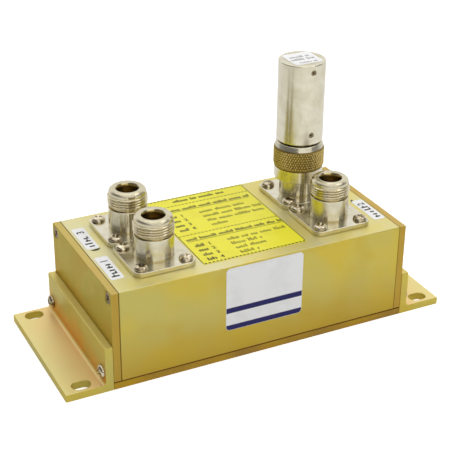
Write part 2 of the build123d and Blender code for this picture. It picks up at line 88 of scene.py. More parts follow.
CHANNEL_LOW, CHANNEL_HIGH = box("main_channel")
CHANNEL_TOP = CHANNEL_HIGH.z
FRONT_FACE = CHANNEL_LOW.y
HEEL_X, TOE_X = (corner.x for corner in box("right_bracket"))
SIDES = (("left", -1), ("right", 1))
PORT_CENTRES = {number: middle(f"port_{number}_insulator") for number in (1, 2, 3, 4)}
SHELL_LOW, SHELL_HIGH = box("port_1_shell")
JACK_MOUTH = SHELL_HIGH.z
JACK_BOTTOM = SHELL_LOW.z
FLANGE_SIDE = SHELL_HIGH.x - SHELL_LOW.x
MATING_PLANE = box("port_1_insulator")[1].z
CASE_LOW, CASE_HIGH = box("load_case")
LOAD_AXIS = middle("load_case")
LOAD_RADIUS = (CASE_HIGH.x - CASE_LOW.x) / 2
NUT_BOTTOM, NUT_TOP = (corner.z for corner in box("coupling_nut"))

# Sizes of the turned pieces, as in the CAD
THREAD_PITCH = 25.4 / 24
FLANGE_THICKNESS = 2.0
FLANGE_CORNER = 3.4
FLANGE_BEVEL = 0.25
FLANGE_FOOT = 0.3
FLANGE_SCREW_SPACING = 18.26
PILOT_RADIUS = 6.3
LINE_BORE_RADIUS = 3.5
BARREL_RADIUS = 7.75
THREAD_CREST = 7.94
THREAD_DEPTH = 0.55
THREAD_LENGTH = 4.65
UNDERCUT_RADIUS = 7.0
UNDERCUT_WIDTH = 0.9
RIM_RADIUS = 7.35
RIM_BAND = 1.25
RIM_CHAMFER = 0.75
MOUTH_RADIUS = 4.65
MOUTH_TAPER = 1.4
MATING_BORE_RADIUS = 4.06
SCREW_RADIUS = 1.42
SCREW_CLEAR_RADIUS = 1.67
SKIRT_LENGTH = 5.2
KNURL_LENGTH = 8.9
KNURL_RADIUS = 10.5
KNURL_DEPTH = 0.4
THREAD_ROOT = THREAD_CREST - THREAD_DEPTH
FLANGE_TOP = CHANNEL_TOP + FLANGE_THICKNESS
RIM_BOTTOM = JACK_MOUTH - RIM_BAND - RIM_CHAMFER
THREAD_BOTTOM = RIM_BOTTOM - THREAD_LENGTH
UNDERCUT_BOTTOM = THREAD_BOTTOM - UNDERCUT_WIDTH
KNURL_BOTTOM = NUT_BOTTOM + SKIRT_LENGTH
KNURL_TOP = KNURL_BOTTOM + KNURL_LENGTH
KNURL_ROOT = KNURL_RADIUS - KNURL_DEPTH


# Mesh helpers

SHARP_ANGLE = 32
FLAT_FACE_WEIGHT = 90
HOLE_SEGMENTS = 48
SCREW_SEGMENTS = 64
TURNED_SEGMENTS = 192


def link(obj):
    """Puts an object into the scene."""
    bpy.context.scene.collection.objects.link(obj)
    return obj


def shade(mesh, sharp_angle):
    """Smooth shading but for edges sharper than the given angle."""
    mesh.shade_smooth()
    mesh.set_sharp_from_angle(angle=math.radians(sharp_angle))


def mesh_object(name, vertices, faces, sharp_angle=SHARP_ANGLE):
    """A mesh from corners in millimetres, its faces turned outward."""
    mesh = bpy.data.meshes.new(name)
    mesh.from_pydata([tuple(c * MM for c in v) for v in vertices], [], faces)
    work = bmesh.new()
    work.from_mesh(mesh)
    bmesh.ops.recalc_face_normals(work, faces=work.faces)
    work.to_mesh(mesh)
    work.free()
    shade(mesh, sharp_angle)
    return link(bpy.data.objects.new(name, mesh))


def loft(name, rings, ring_closed=False, sharp_angle=SHARP_ANGLE):
    """Skin over rings of equal count; ring_closed joins the last ring to the first."""
    count = len(rings[0])
    vertices = [point for ring in rings for point in ring]
    pairs = [(k, k + 1) for k in range(len(rings) - 1)]
    if ring_closed:
        pairs.append((len(rings) - 1, 0))
    faces = [
        (a * count + i, a * count + (i + 1) % count, b * count + (i + 1) % count, b * count + i)
        for a, b in pairs
        for i in range(count)
    ]
    if not ring_closed:
        last = (len(rings) - 1) * count
        faces.append(tuple(reversed(range(count))))
        faces.append(tuple(last + i for i in range(count)))
    return mesh_object(name, vertices, faces, sharp_angle)


def rounded(points, radii, steps=8):
    """Closed outline whose corners are arcs; one radius for each point, 0 for a sharp one."""
    outline = []
    count = len(points)
    for i, (point, radius) in enumerate(zip(points, radii)):
        here = Vector(point)
        before = Vector(points[i - 1]) - here
        after = Vector(points[(i + 1) % count]) - here
        if radius <= 0:
            outline.append(tuple(here))
            continue
        half = before.angle(after) / 2
        reach = radius / math.tan(half)
        inward = (before.normalized() + after.normalized()).normalized()
        centre = here + inward * (radius / math.sin(half))
        first = here + before.normalized() * reach - centre
        last = here + after.normalized() * reach - centre
        sweep = math.atan2(first.cross(last), first.dot(last))
        for step in range(steps + 1):
            turn = Matrix.Rotation(sweep * step / steps, 2)
            outline.append(tuple(centre + turn @ first))
    return outline


def rectangle(low_x, low_y, high_x, high_y):
    """Corners of an upright rectangle."""
    return [(low_x, low_y), (high_x, low_y), (high_x, high_y), (low_x, high_y)]


def turned_rings(profile, centre, segments):
    """Rings about a vertical axis from (radius, z); a radius may be a function of the angle."""
    rings = []
    for radius, z in profile:
        ring = []
        for k in range(segments):
            angle = 2 * math.pi * k / segments
            r = radius(angle) if callable(radius) else radius
            ring.append((centre[0] + r * math.cos(angle), centre[1] + r * math.sin(angle), z))
        rings.append(ring)
    return rings


def smoothstep(low, high, value):
    """Soft step from 0 to 1 between two values."""
    share = min(1.0, max(0.0, (value - low) / (high - low)))
    return share * share * (3 - 2 * share)


def near_corner(radius, z, *steps):
    """Points of a profile at small steps outward and upward from a corner."""
    return [(radius + outward, z + upward) for outward, upward in steps]


def cut_rows(bottom, top, count, fade, cut):
    """Rows of a profile between two heights. Cut gives the radius from the angle, the height, and
    a share that falls to 0 over a fade at both ends."""
    rows = []
    for row in range(count + 1):
        z = bottom + (top - bottom) * row / count
        run_out = smoothstep(bottom, bottom + fade, z) * smoothstep(top, top - fade, z)
        rows.append((lambda angle, z=z, run_out=run_out: cut(angle, z, run_out), z))
    return rows


def thread_rows(bottom, top, crest, root, rows_per_pitch=8):
    """Rows of a helical thread that runs out at both ends."""

    def cut(angle, z, run_out):
        share = (z / THREAD_PITCH - angle / (2 * math.pi)) % 1.0
        ridge = smoothstep(0.12, 0.42, 0.5 - abs(share - 0.5))
        return crest + (root - crest) * (1 - ridge * run_out)

    count = round((top - bottom) / THREAD_PITCH * rows_per_pitch)
    return cut_rows(bottom, top, count, THREAD_PITCH / 2, cut)


def square_radius(half_side, corner):
    """Distance from the middle of a rounded square to its edge, as a function of the angle."""
    inset = half_side - corner

    def radius(angle):
        c, s = abs(math.cos(angle)), abs(math.sin(angle))
        if c * half_side >= s * half_side and half_side * s <= inset * c:
            return half_side / c
        if s > c and half_side * c <= inset * s:
            return half_side / s
        b = inset * (c + s)
        return b + math.sqrt(b * b - 2 * inset * inset + corner * corner)

    return radius


def evaluated_mesh(obj):
    """New mesh of an object as its modifiers leave it."""
    depsgraph = bpy.context.evaluated_depsgraph_get()
    return bpy.data.meshes.new_from_object(obj.evaluated_get(depsgraph))


def combine(target, cutter, operation="DIFFERENCE"):
    """Applies a boolean with another object, which is then removed."""
    modifier = target.modifiers.new("cut", "BOOLEAN")
    modifier.object = cutter
    modifier.operation = operation
    modifier.solver = "EXACT"
    mesh = evaluated_mesh(target)
    target.modifiers.clear()
    target.data = mesh
    shade(mesh, SHARP_ANGLE)
    bpy.data.objects.remove(cutter)
    return target


def hole_cutter(radius, low, high, place, chamfer=0.0):
    """Cutter along +Z of a plane, widened at its top end by a chamfer."""
    profile = [(radius, low), (radius, high - chamfer)]
    if chamfer:
        profile += [(radius + chamfer, high), (radius + chamfer, high + 1.0)]
    rings = turned_rings(profile, (0, 0), HOLE_SEGMENTS)
    return loft("cutter", [[tuple(place @ Vector(p)) for p in ring] for ring in rings])


def copies(name, source, places):
    """One object made of the source mesh at each place; the source is then removed."""
    vertices, faces = [], []
    for place in places:
        offset = len(vertices)
        vertices += [tuple(place @ (v.co / MM)) for v in source.data.vertices]
        faces += [tuple(offset + i for i in p.vertices) for p in source.data.polygons]
    made = mesh_object(name, vertices, faces)
    bpy.data.objects.remove(source)
    return made


def frame_at(origin, outward, turn=0.0):
    """Placement whose +Z points outward, turned about it."""
    rotation = Vector((0, 0, 1)).rotation_difference(Vector(outward)).to_matrix().to_4x4()
    return Matrix.Translation(origin) @ rotation @ Matrix.Rotation(turn, 4, "Z")


def slab(name, outline, place, thickness):
    """A thin plate: a flat outline on a plane, raised by its thickness."""
    rings = [[tuple(place @ Vector((x, y, z))) for x, y in outline] for z in (0.0, thickness)]
    return loft(name, rings)


# Node helpers


def srgb(red, green, blue):
    """Linear colour from the display values of a colour."""
    return tuple(
        c / 12.92 if c <= 0.04045 else ((c + 0.055) / 1.055) ** 2.4 for c in (red, green, blue)
    ) + (1.0,)


def feed(tree, node, inputs):
    """Fills a node's inputs, named or numbered: an output is linked, any other value is set."""
    for key, given in inputs.items():
        if isinstance(given, bpy.types.NodeSocket):
            tree.links.new(given, node.inputs[key])
        else:
            node.inputs[key].default_value = given


def add_node(tree, kind, inputs, **settings):
    """A new node with its settings and inputs; gives its outputs."""
    node = tree.nodes.new(kind)
    for name, setting in settings.items():
        setattr(node, name, setting)
    feed(tree, node, inputs)
    return node.outputs


def calculated(tree, operation, first, second=0.0):
    """Result of a math node on outputs or numbers."""
    return add_node(tree, "ShaderNodeMath", {0: first, 1: second}, operation=operation)[0]


def mapped(tree, given, low, high, out_low, out_high, curve="SMOOTHSTEP"):
    """Maps a value from one span to another, held at both ends."""
    inputs = {0: given, 1: low, 2: high, 3: out_low, 4: out_high}
    return add_node(tree, "ShaderNodeMapRange", inputs, interpolation_type=curve)[0]


def mirrored_ray(tree, path):
    """1 for a ray that comes by way of metal or glass."""
    return calculated(tree, "MAXIMUM", path["Is Glossy Ray"], path["Is Transmission Ray"])


class Material:
    """A node material written as small calls. Its place, x, y and z are in millimetres."""

    def __init__(self, name):
        """A material with the surface shader alone."""
        self.material = bpy.data.materials.new(name)
        self.material.use_nodes = True
        self.tree = self.material.node_tree
        self.shader = self.tree.nodes["Principled BSDF"]
        coordinates = self.tree.nodes.new("ShaderNodeTexCoord").outputs["Object"]
        inputs = {0: coordinates, "Scale": 1 / MM}
        self.place = add_node(self.tree, "ShaderNodeVectorMath", inputs, operation="SCALE")[0]
        self.x, self.y, self.z = self.parts(self.place)

    def set(self, inputs):
        """Sets or links inputs of the surface shader."""
        feed(self.tree, self.shader, inputs)

    def parts(self, vector):
        """The three coordinates of a vector."""
        outputs = add_node(self.tree, "ShaderNodeSeparateXYZ", {0: vector})
        return outputs[0], outputs[1], outputs[2]

    def stretched(self, x, y, z):
        """The place with a factor for each axis."""
        inputs = {0: self.place, 1: (x, y, z)}
        return add_node(self.tree, "ShaderNodeVectorMath", inputs, operation="MULTIPLY")[0]

    def noise(self, size, detail=3.0, vector=None, roughness=0.5):
        """Noise whose blotches are about the given size in millimetres."""
        inputs = {"Scale": 1 / size, "Detail": detail, "Roughness": roughness}
        inputs["Vector"] = vector or self.place
        return add_node(self.tree, "ShaderNodeTexNoise", inputs)["Fac"]

    def math(self, operation, first, second=0.0):
        """Result of a math node."""
        return calculated(self.tree, operation, first, second)

    def size(self, value):
        """A value without its sign."""
        return self.math("ABSOLUTE", value)

    def product(self, first, *others):
        """Product of several shares."""
        for other in others:
            first = self.math("MULTIPLY", first, other)
        return first

    def span(self, value, low, high, out_low, out_high):
        """Maps a value from one span to another, held at both ends."""
        return mapped(self.tree, value, low, high, out_low, out_high, "LINEAR")

    def above(self, value, edge, width):
        """Share that grows from 0 to 1 over a width past an edge."""
        return self.span(value, edge, edge + width, 0.0, 1.0)

    def below(self, value, edge, width):
        """Share that falls from 1 to 0 over a width past an edge."""
        return self.span(value, edge, edge + width, 1.0, 0.0)

    def mix(self, share, first, second):
        """Blend of two colours."""
        inputs = {0: share, 6: first, 7: second}
        return add_node(self.tree, "ShaderNodeMix", inputs, data_type="RGBA")[2]

    def blend(self, share, first, second):
        """Blend of two numbers."""
        return add_node(self.tree, "ShaderNodeMix", {0: share, 2: first, 3: second})[0]

    def bump(self, height, distance):
        """Relief of a height field, its distance in millimetres."""
        inputs = {"Height": height, "Distance": distance * MM}
        self.set({"Normal": add_node(self.tree, "ShaderNodeBump", inputs)[0]})


# Materials

JOINT_CORE = 0.18
JOINT_REACH = 0.42
BASE_JOINT_SHARE = 0.95
END_JOINT_CORE = 0.108
END_JOINT_REACH = 0.336
END_JOINT_SHARE = 0.45


def joint_share(m, end_joints):
    """Share of dark line along the joint of the bottom plate, and of those of the end plates."""
    from_base = m.size(m.math("SUBTRACT", m.z, CHANNEL_LOW.z))
    share = m.span(from_base, JOINT_CORE, JOINT_REACH, BASE_JOINT_SHARE, 0.0)
    if end_joints:
        from_end = m.size(m.math("SUBTRACT", m.size(m.x), CHANNEL_HIGH.x))
        beside = m.span(from_end, END_JOINT_CORE, END_JOINT_REACH, END_JOINT_SHARE, 0.0)
        share = m.math("MAXIMUM", share, beside)
    return share


def facing(m, along, share=0.9):
    """Share of a surface whose normal lies along an axis, from its part on that axis."""
    return m.span(along, 0.6, 0.98, 0.0, share)


def chromate(
    name, ground, patch, rose, flat, flat_patch, rose_reach=0.55, corner=None, metal=0.5, bottom_shade=0.0,
    base_joint=False, end_joints=False, side=None,
):
    """Yellow chromate film on satin aluminium: a ground with patches and rose blushes, and flat
    and flat_patch, paler colours painted where the sheet faces up as a painted sheen, which on the
    end plates is also the colour of their cut top edges. Corner is the colour of an angle's foot
    near its inner corner, a painted reflection of the leg, and low down the leg takes the orange of
    the foot as a painted reflection. bottom_shade is how far the colour darkens towards the bottom
    of a wall, a painted shade. Side is the colour of edges that face the front or the rear. The
    joints are dark lines."""
    m = Material(name)
    drift = m.span(m.x, -60.0, 60.0, 0.10, -0.06)
    patches = m.span(m.math("ADD", m.noise(30, 2.0), drift), 0.42, 0.64, 0.0, 1.0)
    colour = m.mix(patches, ground, patch)
    blush = m.noise(24, 2.0, m.stretched(1.0, 0.8, 1.25))
    colour = m.mix(m.span(blush, 0.52, 0.72, 0.0, rose_reach), colour, rose)
    mottle = m.span(m.noise(3.2, 5.0, roughness=0.6), 0.35, 0.65, 0.0, 0.14)
    colour = m.mix(mottle, colour, patch)
    # Painted shade: the colour darkens towards the bottom of a wall, where the floor's contact shadow
    # falls
    if bottom_shade:
        colour = m.mix(m.span(m.z, 4.0, 26.0, bottom_shade, 0.0), colour, LOW_GOLD)
    normal = m.parts(m.tree.nodes.new("ShaderNodeNewGeometry").outputs["Normal"])
    # Painted reflections on an angle: near the leg its foot takes a light rose tint, the leg mirrored
    # in it and painted light against the shade of that corner, and low down the leg takes orange, the
    # foot mirrored in it
    if corner:
        wave = m.span(m.noise(14, 3.0), 0.3, 0.7, -2.0, 2.0)
        out = m.math("ADD", m.size(m.x), wave)
        painted_top = m.mix(m.span(out, HEEL_X + 3.0, TOE_X, 0.0, 1.0), corner, flat)
        painted_top = m.mix(m.span(m.z, 10.0, 12.0, 0.0, 1.0), painted_top, flat_patch)
        on_leg = m.span(out, HEEL_X + 4.0, HEEL_X + 6.5, 1.0, 0.0)
        low_down = m.span(m.math("ADD", m.z, wave), 3.0, 14.0, 0.9, 0.0)
        outward = facing(m, m.size(normal[0]), 1.0)
        colour = m.mix(m.product(on_leg, low_down, outward), colour, FOOT_REFLECTION_ORANGE)
    else:
        patches = m.span(m.math("ADD", m.noise(17, 3.0), drift), 0.42, 0.66, 0.0, 0.9)
        painted_top = m.mix(patches, flat, flat_patch)
    if side:
        colour = m.mix(facing(m, m.size(normal[1])), colour, side)
    # Painted sheen: faces that point up take the paler top colours, and an angle's foot also takes the
    # painted reflection of its leg
    colour = m.mix(facing(m, normal[2]), colour, painted_top)
    if base_joint:
        colour = m.mix(joint_share(m, end_joints), colour, JOINT_BROWN)
    lines = m.noise(0.6, 1.0, m.stretched(0.02, 1.0, 1.0))
    satin = m.span(m.noise(7, 4.0), 0.3, 0.7, 0.36, 0.46)
    rough = m.math("ADD", satin, m.span(lines, 0.3, 0.7, -0.03, 0.05))
    m.set({"Base Color": colour, "Roughness": rough, "Metallic": metal})
    m.set({"Specular Tint": EDGE_TINT, "Coat Weight": 0.1, "Coat Roughness": 0.25})
    m.bump(m.math("ADD", lines, m.noise(1.3, 2.0)), 0.0012)
    return m.material


QUARTER_TURN = 0.25
ROOT_STAIN = 0.65
CREST_STAIN = 0.1
RIM_STAIN = 0.25
# Share of painted shade at the foot of a jack's barrel
FOOT_SHADE = 0.6


def plated(name, bright, dull, rough, lines=0.16, stain_and_shade=None, turned=0.0, patches=5.0):
    """Plated and turned metal: faint tool rings about its axis, and a slightly uneven film with
    patches of a size. Rough gives the lowest and highest roughness. A stain_and_shade pair may give
    a share of the surface and the colour there, of tarnish and of painted shade. Turned stretches
    the reflections along the axis, as the marks of a lathe do."""
    m = Material(name)
    cloud = m.span(m.noise(patches, 4.0, roughness=0.6), 0.32, 0.68, 0.0, 1.0)
    colour = m.mix(cloud, bright, dull)
    if stain_and_shade:
        share, tinted = stain_and_shade
        colour = m.mix(share(m), colour, tinted(m) if callable(tinted) else tinted)
    rings = m.noise(lines, 2.0, m.stretched(0.03, 0.03, 1.0), 0.6)
    satin = m.span(cloud, 0.0, 1.0, *rough)
    roughness = m.math("ADD", satin, m.span(rings, 0.3, 0.7, -0.02, 0.03))
    m.set({"Base Color": colour, "Roughness": roughness, "Metallic": 1.0})
    m.set({"Anisotropic": turned, "Anisotropic Rotation": QUARTER_TURN})
    m.bump(rings, 0.002)
    return m.material


def distance(m, x, y, axis):
    """Distance of a place from a vertical axis."""
    across = m.math("SUBTRACT", x, axis.x)
    along = m.math("SUBTRACT", y, axis.y)
    square = m.math("ADD", m.product(across, across), m.product(along, along))
    return m.math("SQRT", square)


def tarnished(m):
    """Share of tarnish and painted shade on a jack: full on the wall of its bore, where it is painted
    shade; less at the foot of its barrel, where it is painted shade and the flange's painted
    reflection; less in the roots of its thread, where it is tarnish; and little on its rim. The four
    jacks mirror each other."""
    radius = distance(m, m.size(m.x), m.size(m.y), PORT_CENTRES[4])
    bore_shade = m.product(m.below(radius, MOUTH_RADIUS - 0.1, 0.1), m.below(m.z, JACK_MOUTH - 0.5, 0.4))
    low = m.span(m.z, FLANGE_TOP + 0.3, FLANGE_TOP + 1.2, FOOT_SHADE, 0.0)
    barrel_foot_shade = m.product(low, m.above(m.z, FLANGE_TOP, 0.05), m.below(radius, BARREL_RADIUS + 0.2, 0.2))
    in_root = m.span(radius, THREAD_ROOT, THREAD_CREST, ROOT_STAIN, CREST_STAIN)
    on_rim = m.span(radius, RIM_RADIUS + 0.1, RIM_RADIUS + 0.15, RIM_STAIN, 0.0)
    worn = m.blend(m.above(m.z, RIM_BOTTOM, 0.05), in_root, on_rim)
    over_barrel = m.above(m.z, UNDERCUT_BOTTOM - 0.1, 0.1)
    worn = m.product(worn, over_barrel, m.below(radius, THREAD_CREST + 0.1, 0.1))
    return m.math("MAXIMUM", m.math("MAXIMUM", bore_shade, barrel_foot_shade), worn)


def knurl_colour(m):
    """Painted shade: dark in the grooves of the knurl, bright on its tips; its bronze is partly oxide
    and partly painted shade of its relief.
    """
    depth = m.span(distance(m, m.x, m.y, LOAD_AXIS), KNURL_ROOT, KNURL_RADIUS, 0.0, 1.0)
    return m.mix(depth, KNURL_GROOVE_SHADE, KNURL_BRONZE)


def on_knurl(m):
    """Share that is 1 over the height of the coupling nut's knurl, and little above it, where the
    knurl's colour dulls the bright chamfer as painted shade.
    """
    low_end = m.above(m.z, KNURL_BOTTOM - 0.05, 0.15)
    high_end = m.span(m.z, KNURL_TOP - 0.1, KNURL_TOP + 0.05, 1.0, 0.12)
    return m.product(low_end, high_end)


def film(name, clean, worn):
    """Printed label film: nearly even, faintly soiled, with the small waves of its glue."""
    m = Material(name)
    soil = m.span(m.noise(11, 5.0, roughness=0.6), 0.45, 0.75, 0.0, 1.0)
    rough = m.span(m.noise(4), 0.3, 0.7, 0.36, 0.50)
    m.set({"Base Color": m.mix(soil, clean, worn), "Roughness": rough, "Specular IOR Level": 0.4})
    m.bump(m.noise(0.5), 0.006)
    return m.material


def ink(name, solid, thin):
    """Print that covers unevenly."""
    m = Material(name)
    cover = m.span(m.noise(0.7, 3.0, roughness=0.7), 0.35, 0.7, 0.0, 1.0)
    rough = m.span(m.noise(0.4, 2.0), 0.3, 0.7, 0.4, 0.55)
    m.set({"Base Color": m.mix(cover, solid, thin), "Roughness": rough, "Specular IOR Level": 0.25})
    m.bump(m.noise(0.25, 2.0), 0.003)
    return m.material


def plain(name, light, dark, roughness, size=2.0, subsurface=0.0):
    """Moulded or coated stuff with patches of two close colours, about as large as size."""
    m = Material(name)
    patches = m.span(m.noise(size, 4.0), 0.35, 0.65, 0.0, 1.0)
    rough = m.span(m.noise(size / 3), 0.3, 0.7, roughness - 0.05, roughness + 0.07)
    m.set({"Base Color": m.mix(patches, light, dark), "Roughness": rough})
    m.set({"Subsurface Weight": subsurface})
    m.bump(m.noise(size / 6), 0.005)
    return m.material


EDGE_TINT = srgb(0.96, 0.90, 0.70)
GOLD = srgb(0.83, 0.74, 0.28)
DEEP_GOLD = srgb(0.77, 0.66, 0.22)
BROWN_GOLD = srgb(0.63, 0.50, 0.23)
# LOW_GOLD is the painted shade low on the channel's walls, and a patch colour of the bottom plate
LOW_GOLD = srgb(0.75, 0.61, 0.16)
SIDE_BROWN = srgb(0.73, 0.60, 0.25)
JOINT_BROWN = srgb(0.40, 0.25, 0.04)
# Colours of the angles' faces that point up, paler than their walls as a painted sheen, with a painted
# highlight along the leg's top
FOOT_PALE = srgb(0.94, 0.89, 0.62)
LEG_TOP = srgb(0.90, 0.83, 0.50)
GREEN_GREY = srgb(0.79, 0.74, 0.40)
ROSE = srgb(0.80, 0.68, 0.40)
ROSE_GREY = srgb(0.80, 0.72, 0.44)
# Colours of the channel's faces that point up, paler than its walls as a painted sheen
PALE = srgb(0.91, 0.86, 0.55)
GREY_PALE = srgb(0.90, 0.88, 0.71)
# Painted reflections on the angles: the leg seen in the foot, and the foot seen in the leg
LEG_REFLECTION_ROSE = srgb(0.98, 0.84, 0.60)
FOOT_REFLECTION_ORANGE = srgb(0.92, 0.64, 0.24)
PLATE_GOLD = srgb(0.69, 0.57, 0.22)
PLATE_GREEN = srgb(0.68, 0.63, 0.30)
PLATE_ROSE = srgb(0.72, 0.54, 0.24)
NICKEL = srgb(0.88, 0.86, 0.78)
DULL_NICKEL = srgb(0.83, 0.80, 0.70)
# Brown of painted shade in the jacks' bores and at their feet, and of tarnish in their thread roots
SHADE_AND_TARNISH_BROWN = srgb(0.70, 0.62, 0.38)
KNURL_BRONZE = srgb(0.90, 0.82, 0.54)
# Painted shade in the knurl's grooves
KNURL_GROOVE_SHADE = srgb(0.50, 0.40, 0.18)
# Screw heads: the near-white patches are painted highlights, and the dark brown ones are partly
# painted shade
SCREW_HIGHLIGHT = srgb(0.97, 0.93, 0.82)
SCREW_DARK = srgb(0.44, 0.35, 0.20)
BROWN_SCREW = srgb(0.50, 0.38, 0.25)
BROWN_SCREW_DARK = srgb(0.32, 0.22, 0.12)

materials = {
    "chromate": chromate(
        "channel_chromate", GOLD, GREEN_GREY, DEEP_GOLD, PALE, GREY_PALE, bottom_shade=0.7,
        base_joint=True, end_joints=True,
    ),
    # The screw heads' small patches of near-white and dark brown are painted highlights and painted
    # shade
    "screw_steel": plated("plated_steel", SCREW_HIGHLIGHT, SCREW_DARK, (0.08, 0.18), 0.3, patches=2.4),
    "nickel": plated(
        "bright_nickel", NICKEL, DULL_NICKEL, (0.16, 0.24), 0.16, (tarnished, SHADE_AND_TARNISH_BROWN), 0.85
    ),
    "nut_nickel": plated(
        "nut_nickel", NICKEL, DULL_NICKEL, (0.18, 0.28), 0.16, (on_knurl, knurl_colour), 0.6
    ),
    "fluoropolymer": plain(
        "fluoropolymer", srgb(0.95, 0.94, 0.90), srgb(0.90, 0.89, 0.84), 0.45, 3.0, subsurface=0.15
    ),
    "contact_gold": plated(
        "contact_gold", srgb(0.92, 0.76, 0.44), srgb(0.82, 0.64, 0.34), (0.18, 0.30)
    ),
    "line_brass": plated(
        "milled_brass", srgb(0.86, 0.74, 0.46), srgb(0.74, 0.60, 0.34), (0.25, 0.40), 0.4
    ),
    "element_ceramic": plain(
        "element_film", srgb(0.24, 0.24, 0.27), srgb(0.16, 0.16, 0.18), 0.5, 1.2
    ),
    "gasket_rubber": plain("silicone", srgb(0.78, 0.34, 0.26), srgb(0.66, 0.26, 0.20), 0.6, 1.5),
    "label_yellow": film("yellow_film", srgb(0.97, 0.94, 0.20), srgb(0.94, 0.90, 0.18)),
    "label_white": film("white_film", srgb(0.94, 0.94, 0.94), srgb(0.89, 0.89, 0.88)),
}
# The end plates' darker colours are partly their own tint and partly painted shade of the left plate,
# which faces the dark side of the room
end_plate_film = chromate(
    "end_plate_chromate", PLATE_GOLD, PLATE_GREEN, PLATE_ROSE, ROSE, ROSE_GREY, 0.8, metal=0.85,
    base_joint=True, end_joints=True, side=SIDE_BROWN,
)
angle_film = chromate(
    "angle_chromate", GOLD, GREEN_GREY, DEEP_GOLD, FOOT_PALE, LEG_TOP, corner=LEG_REFLECTION_ROSE
)
base_film = chromate(
    "base_chromate", BROWN_GOLD, LOW_GOLD, BROWN_GOLD, GOLD, GOLD, metal=0.75, base_joint=True
)
set_screw_steel = plated(
    "set_screw_steel", srgb(0.66, 0.61, 0.50), srgb(0.48, 0.43, 0.32), (0.30, 0.45)
)
# The end plates' countersunk screws are dark brown, a painted dark reflection of the room at their
# sides
brown_screw_steel = plated("brown_screw_steel", BROWN_SCREW, BROWN_SCREW_DARK, (0.18, 0.30), 0.3)
sticker_film = film("sticker_film", srgb(0.99, 0.99, 0.99), srgb(0.95, 0.95, 0.94))
black_ink = ink("black_print", srgb(0.10, 0.09, 0.04), srgb(0.22, 0.20, 0.08))
olive_ink = ink("thin_print", srgb(0.36, 0.33, 0.06), srgb(0.56, 0.52, 0.12))
grey_ink = ink("grey_print", srgb(0.42, 0.41, 0.40), srgb(0.62, 0.61, 0.60))
navy_ink = ink("navy_print", srgb(0.10, 0.10, 0.34), srgb(0.14, 0.14, 0.40))


def dress(obj, body, slot, replaced=(), material=None):
    """Gives a piece its material, its body and the nodes it stands for, and keeps its large flat
    faces flat where they meet small rounded edges."""
    obj.data.materials.clear()
    obj.data.materials.append(material or materials[slot])
    normals = obj.modifiers.new("flat_faces", "WEIGHTED_NORMAL")
    normals.keep_sharp = True
    normals.weight = FLAT_FACE_WEIGHT
    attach(obj, body)
    if replaced:
        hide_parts(*replaced)


node_films = {
    "left_end_plate": end_plate_film,
    "right_end_plate": end_plate_film,
    "bottom_plate": base_film,
    "load_set_screws": set_screw_steel,
    "port_1_sticker": sticker_film,
    "port_2_sticker": sticker_film,
    "port_3_sticker": sticker_film,
}
for subpart in frame["record"]["subparts"]:
    node = subpart["node"]
    nodes[node].data.materials.clear()
    nodes[node].data.materials.append(node_films.get(node) or materials[subpart["material_slot"]])

# The plates and the channel have slightly broken edges, so that their joints show as fine grooves
SHEET_EDGE = 0.32
WELD_REACH = 0.001
for node in ("main_channel", "left_end_plate", "right_end_plate", "bottom_plate"):
    weld = nodes[node].modifiers.new("welded", "WELD")
    weld.merge_threshold = WELD_REACH * MM
    edge = nodes[node].modifiers.new("broken_edges", "BEVEL")
    edge.width = SHEET_EDGE * MM
    edge.segments = 2
    edge.limit_method = "ANGLE"
    edge.angle_limit = math.radians(60)
    edge.harden_normals = True


# Jacks: each is one turning, and its square flange is a row of the same rings

SCREW_CORNERS = [
    Vector((sx * FLANGE_SCREW_SPACING / 2, sy * FLANGE_SCREW_SPACING / 2, 0))
    for sx in (-1, 1)
    for sy in (-1, 1)
]
HALF_FLANGE = FLANGE_SIDE / 2
BEVEL_STEPS = 4

profile = [
    (LINE_BORE_RADIUS, JACK_BOTTOM),
    (PILOT_RADIUS, JACK_BOTTOM),
    (PILOT_RADIUS, CHANNEL_TOP),
    (square_radius(HALF_FLANGE - FLANGE_FOOT, FLANGE_CORNER - FLANGE_FOOT), CHANNEL_TOP),
    (square_radius(HALF_FLANGE, FLANGE_CORNER), CHANNEL_TOP + FLANGE_FOOT),
]
for step in range(BEVEL_STEPS + 1):
    angle = math.pi / 2 * step / BEVEL_STEPS
    inset = FLANGE_BEVEL * (1 - math.cos(angle))
    height = FLANGE_TOP - FLANGE_BEVEL * (1 - math.sin(angle))
    profile.append((square_radius(HALF_FLANGE - inset, FLANGE_CORNER - inset), height))
profile += near_corner(BARREL_RADIUS, FLANGE_TOP, (0.15, 0), (0.04, 0.05), (0, 0.18))
profile += near_corner(BARREL_RADIUS, UNDERCUT_BOTTOM, (0, -0.15), (-0.15, 0))
profile += [(UNDERCUT_RADIUS, UNDERCUT_BOTTOM + 0.05), (UNDERCUT_RADIUS, THREAD_BOTTOM)]
profile += thread_rows(THREAD_BOTTOM, RIM_BOTTOM, THREAD_CREST, THREAD_ROOT)
profile += [(RIM_RADIUS, RIM_BOTTOM + 0.05)]
profile += near_corner(RIM_RADIUS, JACK_MOUTH - RIM_CHAMFER, (0, -0.05), (-0.05, 0.05))
profile += near_corner(RIM_RADIUS - RIM_CHAMFER, JACK_MOUTH, (0.05, -0.05), (-0.05, 0))
profile += near_corner(MOUTH_RADIUS, JACK_MOUTH, (0.06, 0), (-0.02, -0.08))
profile += [
    (MATING_BORE_RADIUS, JACK_MOUTH - MOUTH_TAPER),
    (MATING_BORE_RADIUS, MATING_PLANE),
    (LINE_BORE_RADIUS, MATING_PLANE),
]
